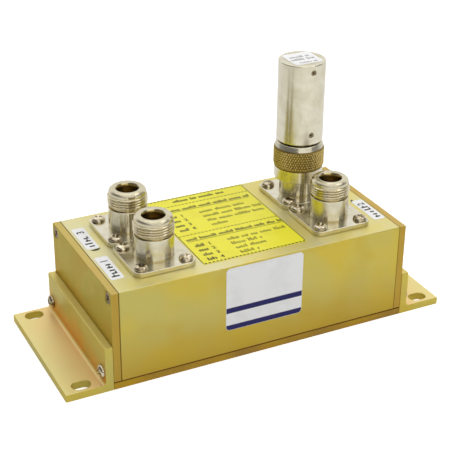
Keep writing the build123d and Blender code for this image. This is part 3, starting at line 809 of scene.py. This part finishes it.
for number, centre in PORT_CENTRES.items():
    rings = turned_rings(profile, centre, TURNED_SEGMENTS)
    jack = loft(f"port_{number}_jack", rings, ring_closed=True)
    holes = [Matrix.Translation((centre.x + c.x, centre.y + c.y, 0)) for c in SCREW_CORNERS]
    cutter = hole_cutter(SCREW_CLEAR_RADIUS, CHANNEL_TOP - 1, FLANGE_TOP + 1, Matrix.Identity(4))
    combine(jack, copies("cutters", cutter, holes))
    dress(jack, "coupler", "nickel", [f"port_{number}_shell"])


# Screws

PAN_RADIUS = 2.78
PAN_HEIGHT = 1.7
PAN_SIDE = 0.35
PAN_CROWN = 0.8
PAN_STEPS = 12
FLAT_RADIUS = 2.6
FLAT_SINK = 0.3
FLAT_DEPTH = (FLAT_RADIUS - SCREW_RADIUS) / math.tan(math.radians(41))
SCREW_POINT = 0.35
RECESS_HALF_LENGTH = 1.5
RECESS_FLOOR_HALF_LENGTH = 0.5
RECESS_HALF_WIDTH = 0.28
RECESS_DEPTH = 1.05


def recess(top):
    """Cutter for a cross recess: two blades that taper downward, and a cone between them."""
    blades = []
    for along_x in (True, False):
        rings = []
        for share, z in ((0.0, top - RECESS_DEPTH), (1.0, top), (1.3, top + 0.3)):
            growth = (RECESS_HALF_LENGTH - RECESS_FLOOR_HALF_LENGTH) * share
            length = RECESS_FLOOR_HALF_LENGTH + growth
            width = RECESS_HALF_WIDTH * (0.7 + 0.3 * share)
            x, y = (length, width) if along_x else (width, length)
            rings.append([(-x, -y, z), (x, -y, z), (x, y, z), (-x, y, z)])
        blades.append(loft("blade", rings))
    cone = [(0.15, top - RECESS_DEPTH - 0.25), (0.6, top), (0.75, top + 0.3)]
    combine(blades[0], blades[1], "UNION")
    return combine(blades[0], loft("cone", turned_rings(cone, (0, 0), 24)), "UNION")


def screw(head, neck, length, top):
    """A turned screw: its point, its shank up to the neck, its head, and the recess in it."""
    rows = [(SCREW_RADIUS - SCREW_POINT, -length), (SCREW_RADIUS, SCREW_POINT - length)]
    rows += [(SCREW_RADIUS, neck)] + head
    return combine(loft("screw", turned_rings(rows, (0, 0), SCREW_SEGMENTS)), recess(top))


def pan_screw(length):
    """Screw with a domed pan head that stands on the face."""
    across, rise = PAN_RADIUS - PAN_CROWN, PAN_HEIGHT - PAN_SIDE
    head = [(PAN_RADIUS - 0.12, 0), (PAN_RADIUS, 0.12)]
    for step in range(PAN_STEPS + 1):
        angle = math.pi / 2 * step / PAN_STEPS
        head.append((PAN_CROWN + across * math.cos(angle), PAN_SIDE + rise * math.sin(angle)))
    return screw(head, 0, length, PAN_HEIGHT)


def flat_screw(length):
    """Countersunk screw whose head lies a little below the face."""
    slope = (FLAT_RADIUS - SCREW_RADIUS) / FLAT_DEPTH
    radius = FLAT_RADIUS - slope * FLAT_SINK
    head = [(radius - slope * 0.1, -FLAT_SINK - 0.1), (radius - 0.1, -FLAT_SINK - 0.02)]
    head.append((radius - 0.18, -FLAT_SINK))
    return screw(head, -FLAT_DEPTH, length, -FLAT_SINK)


turns = random.Random(SCREW_SEED)


def place_screws(name, node, length_axis, make, head_height, outward, origins, material=None):
    """Screws at the given places, each turned at random, in place of a node."""
    low, high = box(node)
    source_length = high[length_axis] - low[length_axis] - head_height
    places = [frame_at(origin, outward, turns.uniform(0, math.pi / 2)) for origin in origins]
    dress(copies(name, make(source_length), places), "coupler", "screw_steel", [node], material)


flange_places = [
    (centre.x + corner.x, centre.y + corner.y, FLANGE_TOP)
    for centre in PORT_CENTRES.values()
    for corner in SCREW_CORNERS
]
place_screws(
    "flange_screw_set", "flange_screws", 2, pan_screw, PAN_HEIGHT, (0, 0, 1), flange_places
)

END_SCREWS = (
    ("bracket", pan_screw, PAN_RADIUS, PAN_HEIGHT, None),
    ("end_plate", flat_screw, FLAT_RADIUS, 0, brown_screw_steel),
)
for word, side in SIDES:
    for held, make, radius, height, material in END_SCREWS:
        node = f"{word}_{held}_screws"
        low, high = box(node)
        face = (low.x if side < 0 else high.x) - side * height
        row = [(face, y, (low.z + high.z) / 2) for y in (low.y + radius, high.y - radius)]
        name = f"{word}_{held}_screw_pair"
        place_screws(name, node, 0, make, height, (side, 0, 0), row, material)

# Screws under the bottom plate: a row along each side and one under each line support
low, high = box("bottom_plate_screws")
row_ys = (low.y + FLAT_RADIUS, high.y - FLAT_RADIUS)
row_xs = (low.x + FLAT_RADIUS, (low.x + high.x) / 2, high.x - FLAT_RADIUS)
below = [(x, y, 0) for x in row_xs for y in row_ys]
place_screws("bottom_plate_screw_set", "bottom_plate_screws", 2, flat_screw, 0, (0, 0, -1), below)

low, high = box("line_support_screws")
below = [(x, 0, 0) for x in (low.x + FLAT_RADIUS, high.x - FLAT_RADIUS)]
place_screws("line_support_screw_pair", "line_support_screws", 2, flat_screw, 0, (0, 0, -1), below)


# Mounting angles

ANGLE_THICKNESS = 3.175
ANGLE_INNER_RADIUS = 1.5
ANGLE_LIP_RADIUS = 0.4
ANGLE_EDGE = 0.22
SLOT_LENGTH = 7.4
SLOT_RADIUS = 2.6
SLOT_CHAMFER = 0.22
SLOT_CHAMFER_DEPTH = 0.225
SLOT_SEGMENTS = 64
SLOT_FROM_HEEL = 11.5
SLOT_FROM_SIDE = 4.25


def angle_section(side, heel, toe, top, inset):
    """Section of an angle with rounded corners, shrunk by an inset."""
    near, far = heel + side * inset, toe - side * inset
    face = heel + side * ANGLE_THICKNESS - side * inset
    floor = ANGLE_THICKNESS - inset
    corners = [(near, inset), (far, inset), (far, floor), (face, floor)]
    corners += [(face, top - inset), (near, top - inset)]
    lip = ANGLE_LIP_RADIUS - inset
    edge = max(0.02, ANGLE_EDGE - inset)
    return rounded(corners, [edge, edge, lip, ANGLE_INNER_RADIUS + inset, lip, edge], steps=6)


def slot_cutter(centre_x, centre_y):
    """Cutter for a foot's slot, widened at the top of the foot."""
    half = SLOT_LENGTH / 2 - SLOT_RADIUS
    wide = SLOT_RADIUS + SLOT_CHAMFER
    rings = []
    for radius, z in (
        (SLOT_RADIUS, -1),
        (SLOT_RADIUS, ANGLE_THICKNESS - SLOT_CHAMFER_DEPTH),
        (wide, ANGLE_THICKNESS),
        (wide, ANGLE_THICKNESS + 1),
    ):
        ring = []
        for k in range(SLOT_SEGMENTS):
            angle = 2 * math.pi * k / SLOT_SEGMENTS
            shift = half if math.cos(angle) >= 0 else -half
            x = centre_x + shift + radius * math.cos(angle)
            ring.append((x, centre_y + radius * math.sin(angle), z))
        rings.append(ring)
    return loft("slot_cutter", rings)


for word, side in SIDES:
    low, high = box(f"{word}_bracket")
    heel, toe = (high.x, low.x) if side < 0 else (low.x, high.x)
    eased = [(0.0, ANGLE_EDGE), (ANGLE_EDGE * 0.3, ANGLE_EDGE * 0.3), (ANGLE_EDGE, 0.0)]
    ends = [(low.y + along, inset) for along, inset in eased]
    ends += [(high.y - along, inset) for along, inset in reversed(eased)]
    rings = [
        [(x, y, z) for x, z in angle_section(side, heel, toe, high.z, inset)] for y, inset in ends
    ]
    bracket = loft(f"{word}_mounting_angle", rings)
    for y in (low.y + SLOT_FROM_SIDE, high.y - SLOT_FROM_SIDE):
        combine(bracket, slot_cutter(heel + side * SLOT_FROM_HEEL, y))
    low, high = box(f"{word}_bracket_screws")
    for y in (low.y + PAN_RADIUS, high.y - PAN_RADIUS):
        place = frame_at((heel, y, (low.z + high.z) / 2), (side, 0, 0))
        combine(bracket, hole_cutter(SCREW_CLEAR_RADIUS, -1, ANGLE_THICKNESS + 1, place))
    dress(bracket, "coupler", "chromate", [f"{word}_bracket"], angle_film)


# Load: case, and the knurled coupling nut

LOAD_WALL = 1.6
LOAD_EDGE = 0.55
SET_SCREW_RADIUS = 1.12
SET_SCREW_CHAMFER = 0.15
corners = rectangle(LOAD_RADIUS - LOAD_WALL, CASE_LOW.z, LOAD_RADIUS, CASE_HIGH.z)
outline = rounded(corners, [0, LOAD_EDGE, LOAD_EDGE, 0], steps=6)
case = loft("load_tube", turned_rings(outline, LOAD_AXIS, TURNED_SEGMENTS), ring_closed=True)
low, high = box("load_set_screws")
for z in (low.z + SET_SCREW_RADIUS, high.z - SET_SCREW_RADIUS):
    place = frame_at((LOAD_AXIS.x, LOAD_AXIS.y, z), (0, -1, 0))
    depths = LOAD_RADIUS - 3, LOAD_RADIUS + 0.02
    combine(case, hole_cutter(SET_SCREW_RADIUS, *depths, place, SET_SCREW_CHAMFER))
dress(case, "load", "nickel", ["load_case"])

KNURL_TEETH = 60
KNURL_LEAD = 1.05
KNURL_ROWS_PER_LEAD = 8
KNURL_RUN_OUT = 0.5
NUT_SEGMENTS = 576
NUT_SHARP_ANGLE = 50
SKIRT_RADIUS = 10.05
SHOULDER_RADIUS = 9.65
NUT_BORE_RADIUS = 8.25
NUT_THREAD_CREST = 8.1
NUT_LIP = 3.0
LIP_RADIUS = 5.9
RING_RADIUS = 6.6
RING_HALF_ROOM = 0.7


def knurl_rows(bottom, top):
    """Diamond knurl: two crossing sets of V grooves that run out at both ends."""

    def cut(angle, z, run_out):
        turn = angle / (2 * math.pi) * KNURL_TEETH
        rise = (z - bottom) / KNURL_LEAD
        ridges = [1 - abs(2 * ((turn + sign * rise) % 1.0) - 1) for sign in (-0.5, 0.5)]
        height = min(1.0, 1.35 * min(ridges))
        return KNURL_RADIUS - KNURL_DEPTH * (1 - height * run_out)

    count = round((top - bottom) / KNURL_LEAD * KNURL_ROWS_PER_LEAD)
    return cut_rows(bottom, top, count, KNURL_RUN_OUT, cut)


lip_bottom = NUT_TOP - NUT_LIP
ring_middle = (lip_bottom + NUT_TOP) / 2
rows = near_corner(SKIRT_RADIUS, NUT_BOTTOM, (-0.35, 0), (-0.10, 0.10), (0, 0.35))
rows += near_corner(SKIRT_RADIUS, KNURL_BOTTOM, (0, -0.10), (0.1, 0))
rows += near_corner(KNURL_ROOT, KNURL_BOTTOM, (-0.2, 0), (0, 0.2))
rows += knurl_rows(KNURL_BOTTOM + 0.3, KNURL_TOP - 0.3)
rows += near_corner(KNURL_ROOT, KNURL_TOP, (0, -0.2), (-0.1, 0))
rows += near_corner(SHOULDER_RADIUS, NUT_TOP, (0, -0.45), (-0.15, -0.12), (-0.45, 0))
rows += near_corner(LIP_RADIUS, NUT_TOP, (0.2, 0), (0, -0.2))
rows += [
    (LIP_RADIUS, ring_middle + RING_HALF_ROOM),
    (RING_RADIUS, ring_middle + RING_HALF_ROOM),
    (RING_RADIUS, ring_middle - RING_HALF_ROOM),
    (LIP_RADIUS, ring_middle - RING_HALF_ROOM),
    (LIP_RADIUS, lip_bottom),
    (NUT_BORE_RADIUS, lip_bottom),
]
thread = thread_rows(NUT_BOTTOM + 0.5, lip_bottom - 1.5, NUT_THREAD_CREST, NUT_BORE_RADIUS, 4)
rows += reversed(thread)
rows += [(NUT_BORE_RADIUS + 0.25, NUT_BOTTOM)]
rings = turned_rings(rows, LOAD_AXIS, NUT_SEGMENTS)
nut = loft("knurled_coupling_nut", rings, ring_closed=True, sharp_angle=NUT_SHARP_ANGLE)
dress(nut, "nut", "nut_nickel", ["coupling_nut"])


# Labels and their print

PRINT_THICKNESS = 0.02
FIGURE_SIZE = 1.37
FIGURE_WEIGHT = 0.025
BOX_FACES = ((3, 2, 1, 0), (4, 5, 6, 7), (0, 1, 5, 4), (1, 2, 6, 5), (2, 3, 7, 6), (3, 0, 4, 7))
marks = random.Random(PRINT_SEED)


def printed(name, rectangles, place, slot, material=black_ink, body="coupler"):
    """Marks on a film, each (x0, y0, x1, y1), raised by the thickness of print."""
    vertices, faces = [], []
    for bounds in rectangles:
        faces += [tuple(len(vertices) + i for i in face) for face in BOX_FACES]
        for z in (0.0, PRINT_THICKNESS):
            vertices += [tuple(place @ Vector((x, y, z))) for x, y in rectangle(*bounds)]
    dress(mesh_object(name, vertices, faces), body, slot, material=material)


def word_marks(x, y, length, height, heavy=False, spread=0.46):
    """A line of greeked print: upright ticks of uneven height in groups, with no letters."""
    rectangles = []
    pitch = height * spread
    width = height * (0.30 if heavy else 0.25)
    left = marks.randint(4, 8)
    cursor = x
    while cursor < x + length - width:
        if left == 0:
            left = marks.randint(3, 8)
            cursor += pitch * 1.1
            continue
        tall = marks.random()
        top = height if tall > 0.72 else height * marks.uniform(0.58, 0.72)
        rectangles.append((cursor, y, cursor + width, y + top))
        if marks.random() > 0.45:
            level = y + marks.choice((0.0, 0.26, 0.5)) * height
            rectangles.append((cursor + width, level, cursor + pitch * 0.86, level + 0.18 * height))
        cursor += pitch
        left -= 1
    return rectangles


def dashes(x0, x1, y, dash, period, thickness):
    """A dashed line, as rectangles."""
    starts = [x0 + k * period for k in range(int((x1 - x0) / period) + 1)]
    half = thickness / 2
    return [(start, y - half, min(x1, start + dash), y + half) for start in starts]


def figure(name, number, place, height, slot):
    """A plain figure in black, raised from a plane by the thickness of print."""
    curve = bpy.data.curves.new(name, "FONT")
    curve.body = str(number)
    curve.size = height * FIGURE_SIZE * MM
    curve.offset = height * FIGURE_WEIGHT * MM
    curve.extrude = PRINT_THICKNESS / 2 * MM
    curve.resolution_u = 6
    text = link(bpy.data.objects.new(name, curve))
    mesh = evaluated_mesh(text)
    bpy.data.objects.remove(text)
    lift = place @ Vector((0, 0, PRINT_THICKNESS / 2))
    mesh.transform(Matrix.Translation(lift * MM) @ place.to_3x3().to_4x4())
    work = bmesh.new()
    work.from_mesh(mesh)
    bmesh.ops.remove_doubles(work, verts=work.verts, dist=1e-7)
    work.to_mesh(mesh)
    work.free()
    dress(link(bpy.data.objects.new(name, mesh)), "coupler", slot, material=black_ink)


# Top label: a title, and two headed tables of four rows, one row for each port
top_low, top_high = box("top_label")
TABLES = (
    ("first", (14.5, 10.5, 6.5, 2.5), (15.0, 20.0, 20.0, 1.5)),
    ("second", (-11.5, -15.3, -19.1, -23.0), (20.0, 6.5, 6.5, 1.5)),
)
TABLE_TEXT = 2.2
TABLE_TEXT_DROP = 0.9
PORT_WORD_X = -20.5
PORT_WORD_LENGTH = 4.2
PORT_FIGURE_X = -15.0
ENTRY_X = -6.5
DASH = 1.0
DASH_PERIOD = 1.63
on_top = Matrix.Translation((0, 0, top_high.z))
entries = []
rectangles = word_marks(-12.5, 26.6, 24.0, 2.1, heavy=True)
rectangles += word_marks(-20.0, 19.3, 39.0, 2.0, heavy=True)
rectangles += word_marks(-21.5, -6.6, 42.0, 2.0, heavy=True)
rectangles += [(-20.0, 18.5, 18.5, 18.75), (-21.5, -7.5, 20.5, -7.25)]
for table, row_ys, row_ends in TABLES:
    for y, end in zip(row_ys, row_ends):
        foot = y - TABLE_TEXT_DROP
        rectangles += word_marks(PORT_WORD_X, foot, PORT_WORD_LENGTH, TABLE_TEXT, heavy=True)
        entries += word_marks(ENTRY_X, foot, end - ENTRY_X, TABLE_TEXT)
for y, thickness in ((top_high.y - 0.5, 0.65), (24.0, 0.4), (-2.0, 0.4), (top_low.y + 0.5, 0.65)):
    rectangles += dashes(top_low.x + 0.5, top_high.x - 0.4, y, DASH, DASH_PERIOD, thickness)
for x in (top_low.x + 0.08, top_high.x - 0.36):
    rectangles.append((x, top_low.y + 0.8, x + 0.28, top_high.y - 0.8))
printed("top_label_print", rectangles, on_top, "label_yellow")
printed("top_label_entries", entries, on_top, "label_yellow", olive_ink)
for table, row_ys, row_ends in TABLES:
    for number, y in enumerate(row_ys, 1):
        place = on_top @ Matrix.Translation((PORT_FIGURE_X, y - TABLE_TEXT_DROP, 0))
        figure(f"{table}_table_{number}", number, place, TABLE_TEXT, "label_yellow")

# Front label: a white plate with two navy stripes, left blank between them
FRONT_CORNER = 1.7
FRONT_STRIPE = 2.3
FRONT_UPPER_STRIPE = 21.0
STRIPE_INSET = 0.12
front_low, front_high = box("front_label")
on_front = Matrix.Translation((0, FRONT_FACE, 0)) @ Matrix.Rotation(math.pi / 2, 4, "X")
film_thickness = FRONT_FACE - front_low.y - PRINT_THICKNESS
outline = rounded(
    rectangle(front_low.x, front_low.z, front_high.x, front_high.z), [FRONT_CORNER] * 4
)
front_film = slab("front_label_film", outline, on_front, film_thickness)
dress(front_film, "coupler", "label_white", ["front_label"])
on_film = on_front @ Matrix.Translation((0, 0, film_thickness))
stripe_left = front_low.x + STRIPE_INSET
stripe_right = front_high.x - STRIPE_INSET
stripe = rectangle(stripe_left, front_low.z + STRIPE_INSET, stripe_right, front_low.z + FRONT_STRIPE)
stripe_corner = FRONT_CORNER - STRIPE_INSET
outline = rounded(stripe, [stripe_corner, stripe_corner, 0, 0])
lower = slab("front_lower_stripe", outline, on_film, PRINT_THICKNESS)
dress(lower, "coupler", "label_white", material=navy_ink)
stripe = (stripe_left, FRONT_UPPER_STRIPE, stripe_right, FRONT_UPPER_STRIPE + FRONT_STRIPE)
printed("front_upper_stripe", [stripe], on_film, "label_white", navy_ink)

# Port stickers: a short line of marks and the port's figure, read from the left end
STICKER_TEXT = 3.1
STICKER_TEXT_DROP = 0.4
STICKER_WORD_X = 1.8
STICKER_WORD_LENGTH = 10.6
STICKER_FIGURE_X = 13.6
for number in (1, 2, 3):
    low, high = box(f"port_{number}_sticker")
    start = Matrix.Translation(((low.x + high.x) / 2 + 1.0, low.y, high.z))
    reading = start @ Matrix.Rotation(math.pi / 2, 4, "Z")
    line = word_marks(
        STICKER_WORD_X, -STICKER_TEXT_DROP, STICKER_WORD_LENGTH, STICKER_TEXT, heavy=True, spread=0.75
    )
    printed(f"port_{number}_sticker_print", line, reading, "label_white")
    place = reading @ Matrix.Translation((STICKER_FIGURE_X, -STICKER_TEXT_DROP, 0))
    figure(f"port_{number}_sticker_figure", number, place, STICKER_TEXT, "label_white")

# Painted shadows: small dark crescents on the roof, half under the ends of two stickers, as cast by
# their lifted corners
CRESCENT_RADIUS = 2.4
CRESCENT_WIDTH = 1.3
CRESCENT_STEPS = 12


def crescent(name, centre, middle_angle, half_sweep):
    """A thin flat crescent of black print, widest at its middle, a painted shadow; its angles are in
    degrees.
    """
    outer, inner = [], []
    for k in range(CRESCENT_STEPS + 1):
        share = 2 * k / CRESCENT_STEPS - 1
        angle = math.radians(middle_angle + share * half_sweep)
        width = CRESCENT_WIDTH * math.sqrt(max(0.02, 1 - share * share))
        for ring, radius in ((outer, CRESCENT_RADIUS), (inner, CRESCENT_RADIUS - width)):
            ring.append((centre[0] + radius * math.cos(angle), centre[1] + radius * math.sin(angle)))
    on_roof = Matrix.Translation((0, 0, CHANNEL_TOP))
    painted_shadow = slab(name, outer + inner[::-1], on_roof, PRINT_THICKNESS)
    dress(painted_shadow, "coupler", "label_white", material=black_ink)


crescent("left_sticker_corner_shadow", (-56.1, 4.3), -82, 60)
crescent("right_sticker_corner_shadow", (57.0, -4.2), 152, 35)

# Square label on the load: three short lines of faint marks
LOAD_LABEL_CORNER = 1.6
low, high = box("load_label")
load_film_thickness = high.z - low.z - PRINT_THICKNESS
on_load = Matrix.Translation((LOAD_AXIS.x, LOAD_AXIS.y, low.z))
half = (high.x - low.x) / 2
outline = rounded(rectangle(-half, -half, half, half), [LOAD_LABEL_CORNER] * 4)
load_film = slab("load_label_film", outline, on_load, load_film_thickness)
dress(load_film, "load", "label_white", ["load_label"], sticker_film)
rectangles = []
for line in ((-4.6, 1.4, 9.0, 1.9), (-5.4, -1.6, 10.6, 1.9), (-3.4, -5.2, 7.6, 1.4)):
    rectangles += word_marks(*line)
on_load_film = on_load @ Matrix.Translation((0, 0, load_film_thickness))
printed("load_label_print", rectangles, on_load_film, "label_white", grey_ink, "load")


# Floor: a white paper sweep that keeps a soft shadow, and shows white to the camera and in metal

FLOOR_GLOW_SEEN = 0.62
FLOOR_GLOW_MIRRORED = 0.15
FLOOR_HALF = 4000
WHITE = (1, 1, 1, 1)

paper = bpy.data.materials.new("paper_floor")
paper.use_nodes = True
tree = paper.node_tree
path = add_node(tree, "ShaderNodeLightPath", {})
seen = calculated(tree, "MULTIPLY", path["Is Camera Ray"], FLOOR_GLOW_SEEN)
in_metal = calculated(tree, "MULTIPLY", mirrored_ray(tree, path), FLOOR_GLOW_MIRRORED)
paper_look = {
    "Base Color": (0.9, 0.9, 0.9, 1),
    "Roughness": 0.9,
    "Specular IOR Level": 0.0,
    "Emission Color": WHITE,
    "Emission Strength": calculated(tree, "MAXIMUM", seen, in_metal),
}
feed(tree, tree.nodes["Principled BSDF"], paper_look)
square = rectangle(-FLOOR_HALF, -FLOOR_HALF, FLOOR_HALF, FLOOR_HALF)
floor = mesh_object("floor", [(x, y, 0) for x, y in square], [(0, 1, 2, 3)])
floor.data.materials.append(paper)
floor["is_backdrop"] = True

# Studio around the object: white to the camera, and to metal where the backdrop stands behind
# the object. Elsewhere a bright wall to its right, a dimmer ceiling, and a dark room to its left
AWAY_FROM_CAMERA = (0.447, 0.895, 0.0)
TO_THE_LEFT = (-1.0, 0.0, 0.0)
UPWARD = (0, 0, 1)
world = bpy.data.worlds.new("studio")
bpy.context.scene.world = world
world.use_nodes = True
tree = world.node_tree
direction = tree.nodes.new("ShaderNodeTexCoord").outputs["Generated"]


def toward(axis):
    """How far a direction points along an axis, from -1 to 1."""
    inputs = {0: direction, 1: axis}
    return add_node(tree, "ShaderNodeVectorMath", inputs, operation="DOT_PRODUCT")["Value"]


wall = mapped(tree, toward(AWAY_FROM_CAMERA), 0.05, 0.7, 0.26, 1.0)
ceiling = mapped(tree, toward(UPWARD), 0.62, 0.95, 1.0, 0.5)
left_room = mapped(tree, toward(TO_THE_LEFT), 0.45, 0.9, 1.0, 0.7)
room = calculated(tree, "MULTIPLY", calculated(tree, "MULTIPLY", wall, ceiling), left_room)
path = add_node(tree, "ShaderNodeLightPath", {})
backdrop = mapped(tree, toward(AWAY_FROM_CAMERA), 0.35, 0.7, 0.0, 1.0)
in_metal = calculated(tree, "MULTIPLY", mirrored_ray(tree, path), backdrop)
white = calculated(tree, "MAXIMUM", path["Is Camera Ray"], in_metal)
studio = add_node(tree, "ShaderNodeMix", {0: white, 6: room, 7: WHITE}, data_type="RGBA")[2]
feed(tree, tree.nodes["Background"], {"Color": studio, "Strength": 1.0})

LAMP_TARGET = Vector((0, 0, 30))


def area_light(name, place, width, height, power):
    """A rectangular lamp that looks at the object."""
    data = bpy.data.lights.new(name, "AREA")
    data.shape = "RECTANGLE"
    data.size, data.size_y = width * MM, height * MM
    data.energy = power
    lamp = link(bpy.data.objects.new(name, data))
    lamp.location = Vector(place) * MM
    lamp.rotation_euler = (LAMP_TARGET - Vector(place)).to_track_quat("-Z", "Y").to_euler()


area_light("overhead_softbox", (-40, 0, 950), 1500, 1200, 5.4)
area_light("front_softbox", (40, -800, 440), 1080, 480, 2.1)
area_light("right_fill", (560, -220, 880), 400, 400, 0.8)

# The camera was fitted to the photograph: its place, aim and field of view
CAMERA_PLACE = Vector((-194.515, -385.772, 263.539))
CAMERA_YAW = 0.463
CAMERA_PITCH = 0.476
CAMERA_ROLL = 0.009
CAMERA_LENS = 96.97
SENSOR_WIDTH = 36.0

ahead = Vector((math.sin(CAMERA_YAW), math.cos(CAMERA_YAW), 0))
forward = ahead * math.cos(CAMERA_PITCH) - Vector((0, 0, math.sin(CAMERA_PITCH)))
level = Vector((math.cos(CAMERA_YAW), -math.sin(CAMERA_YAW), 0))
upright = level.cross(forward)
right = level * math.cos(CAMERA_ROLL) + upright * math.sin(CAMERA_ROLL)
up = upright * math.cos(CAMERA_ROLL) - level * math.sin(CAMERA_ROLL)
camera_data = bpy.data.cameras.new("camera")
camera_data.sensor_width = SENSOR_WIDTH
camera_data.lens = CAMERA_LENS
camera_data.clip_start = 0.01
camera_data.clip_end = 20
camera = link(bpy.data.objects.new("camera", camera_data))
aim = Matrix((right, up, -forward)).transposed().to_4x4()
camera.matrix_world = Matrix.Translation(CAMERA_PLACE * MM) @ aim
bpy.context.scene.camera = camera
bpy.context.scene.view_settings.view_transform = "Standard"

low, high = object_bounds()
